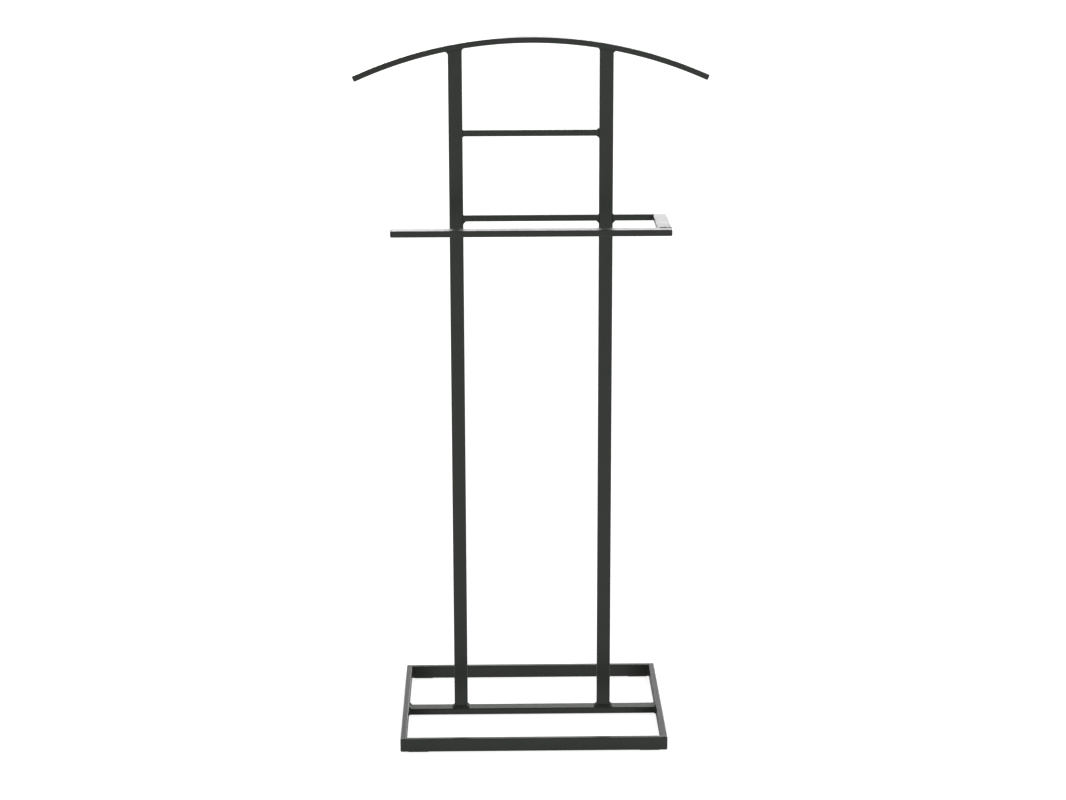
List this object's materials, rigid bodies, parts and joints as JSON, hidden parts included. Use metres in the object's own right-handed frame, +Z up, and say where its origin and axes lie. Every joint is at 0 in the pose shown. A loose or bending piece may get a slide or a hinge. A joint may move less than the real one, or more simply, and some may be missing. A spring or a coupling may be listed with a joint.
{
  "type": "valet stand",
  "caption": "Welded valet stand of black rectangular tube: rectangular base, twin uprights, arched shoulder bar, crossbar and open-ended trouser loop.",
  "frame": {"origin": "on the floor, at the middle of the rectangular base", "axes": "+Z up, +X to the right seen from the front, -Y to the front, where the trouser loop reaches"},
  "size_m": [0.5214, 0.3, 1.05],
  "materials": {
    "powder_coat": "satin black powder coat over steel, faintly green",
    "plug_plastic": "black moulded plastic, fine matt",
    "pad_felt": "black pressed felt"
  },
  "bodies": {
    "root": {"base_cross_rail": "powder_coat", "base_front_rail": "powder_coat", "base_left_rail": "powder_coat", "base_rear_rail": "powder_coat", "base_right_rail": "powder_coat", "floor_pad_front_left": "pad_felt", "floor_pad_front_right": "pad_felt", "floor_pad_rear_left": "pad_felt", "floor_pad_rear_right": "pad_felt", "left_upright": "powder_coat", "plug_front_rail_left": "plug_plastic", "plug_front_rail_right": "plug_plastic", "plug_return_rail": "plug_plastic", "plug_shoulder_left": "plug_plastic", "plug_shoulder_right": "plug_plastic", "right_upright": "powder_coat", "shoulder_bar": "powder_coat", "trouser_front_rail": "powder_coat", "trouser_rear_rail_inner": "powder_coat", "trouser_rear_rail_outer": "powder_coat", "trouser_return_rail": "powder_coat", "upper_crossbar": "powder_coat", "weld_base_front_left": "powder_coat", "weld_base_front_right": "powder_coat", "weld_base_rear_left": "powder_coat", "weld_base_rear_right": "powder_coat", "weld_cross_rail_left": "powder_coat", "weld_cross_rail_right": "powder_coat", "weld_crossbar_left": "powder_coat", "weld_crossbar_right": "powder_coat", "weld_left_foot": "powder_coat", "weld_left_top": "powder_coat", "weld_rear_rail_left": "powder_coat", "weld_rear_rail_middle": "powder_coat", "weld_rear_rail_right": "powder_coat", "weld_return_front": "powder_coat", "weld_return_rear": "powder_coat", "weld_right_foot": "powder_coat", "weld_right_top": "powder_coat"}
  },
  "joints": []
}
